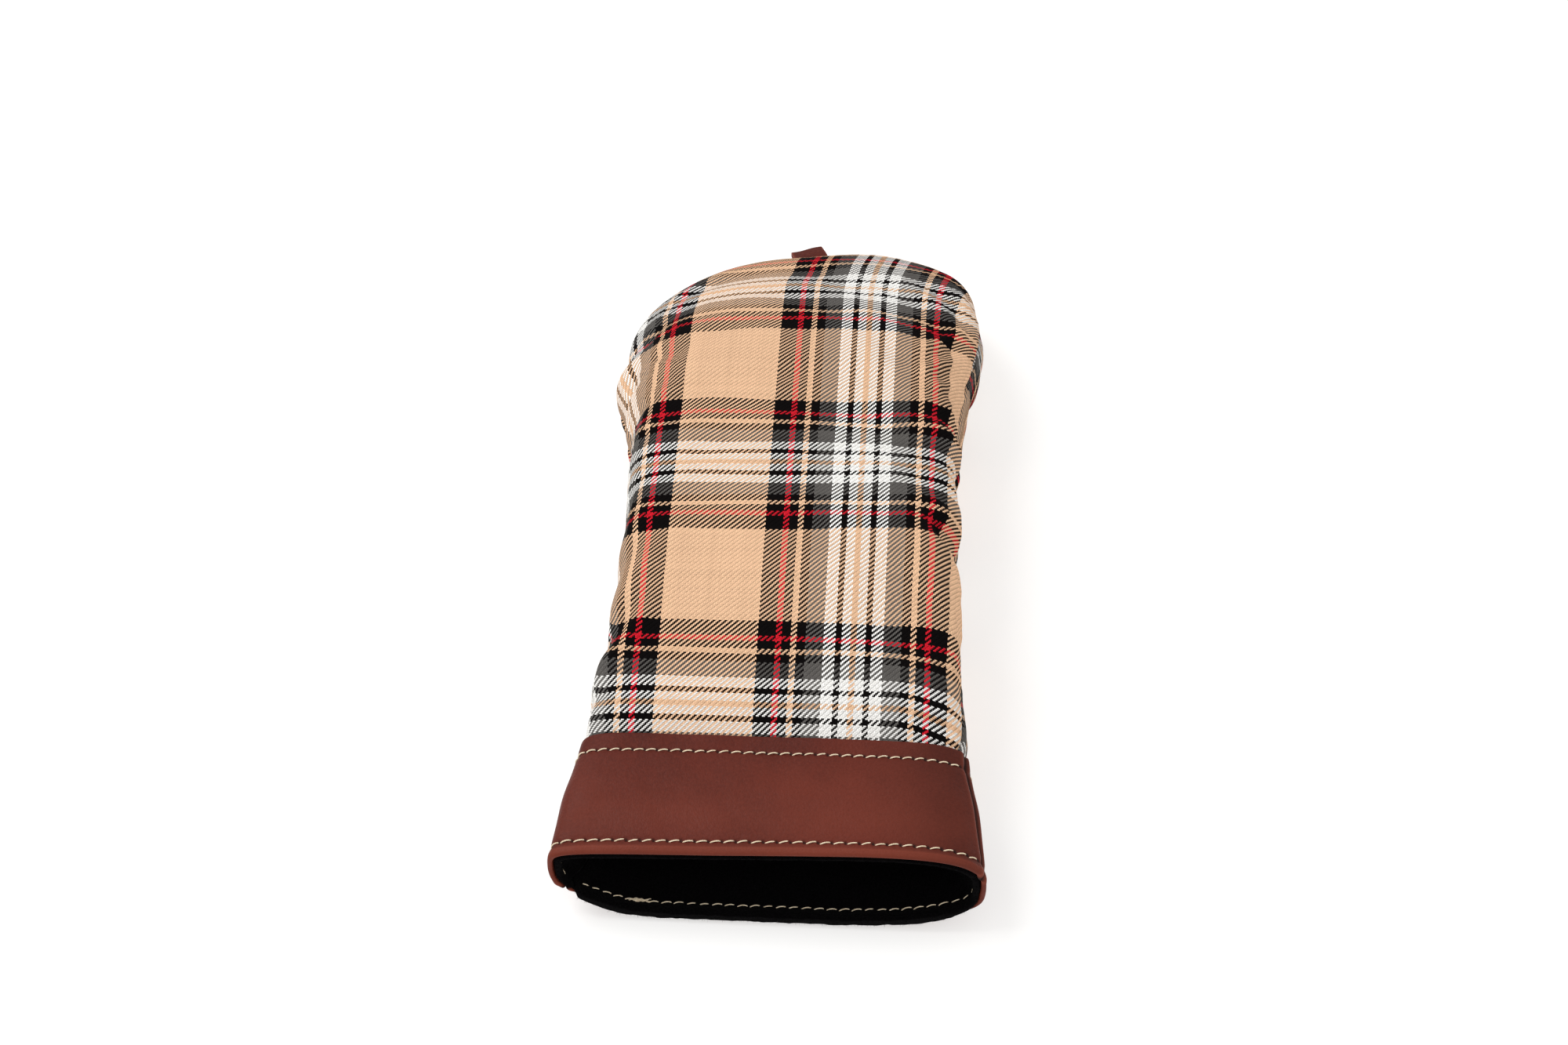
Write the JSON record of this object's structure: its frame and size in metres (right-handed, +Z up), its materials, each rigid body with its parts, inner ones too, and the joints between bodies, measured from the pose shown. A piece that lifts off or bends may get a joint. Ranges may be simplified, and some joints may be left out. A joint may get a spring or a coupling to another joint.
{
  "type": "driver head cover",
  "caption": "Padded tartan sock for a golf driver head, with a leather cuff at its mouth and a small leather tab hinged at its crown.",
  "frame": {"origin": "on the resting plane, under the middle of the body's length", "axes": "+Z up out of the front panel, +Y from the mouth to the crown, +X to the right seen from the mouth"},
  "size_m": [0.16, 0.3511, 0.0675],
  "materials": {
    "tartan_cloth": "matt 2/2 twill tartan in camel, black, grey, white and red",
    "wadding": "matt polyester wadding",
    "black_fleece": "deep short-pile fleece",
    "brown_leather": "smooth, fine-grained, slightly mottled semi-matt leather",
    "cream_thread": "matt twisted thread",
    "white_elastic": "matt woven elastic"
  },
  "bodies": {
    "cover": {"front_panel": "tartan_cloth", "back_panel": "tartan_cloth", "front_padding": "wadding", "back_padding": "wadding", "front_lining": "black_fleece", "back_lining": "black_fleece", "cuff_front": "brown_leather", "cuff_back": "brown_leather", "cuff_seam_thread_left": "cream_thread", "cuff_seam_thread_right": "cream_thread", "cuff_top_thread": "cream_thread", "cuff_top_thread_inside": "cream_thread", "mouth_thread": "cream_thread", "mouth_thread_inside": "cream_thread", "body_seam_thread": "cream_thread", "lining_seam_thread": "cream_thread", "neck_elastic": "white_elastic"},
    "tab": {"crown_tab": "brown_leather"}
  },
  "joints": [
    {"name": "tab_hinge", "type": "hinge", "parent": "cover", "child": "tab", "pos_m": [0.00132, 0.17077, 0.0294], "axis": [0.9355, 0.3534, 0], "range_deg": [-70, 70]}
  ]
}
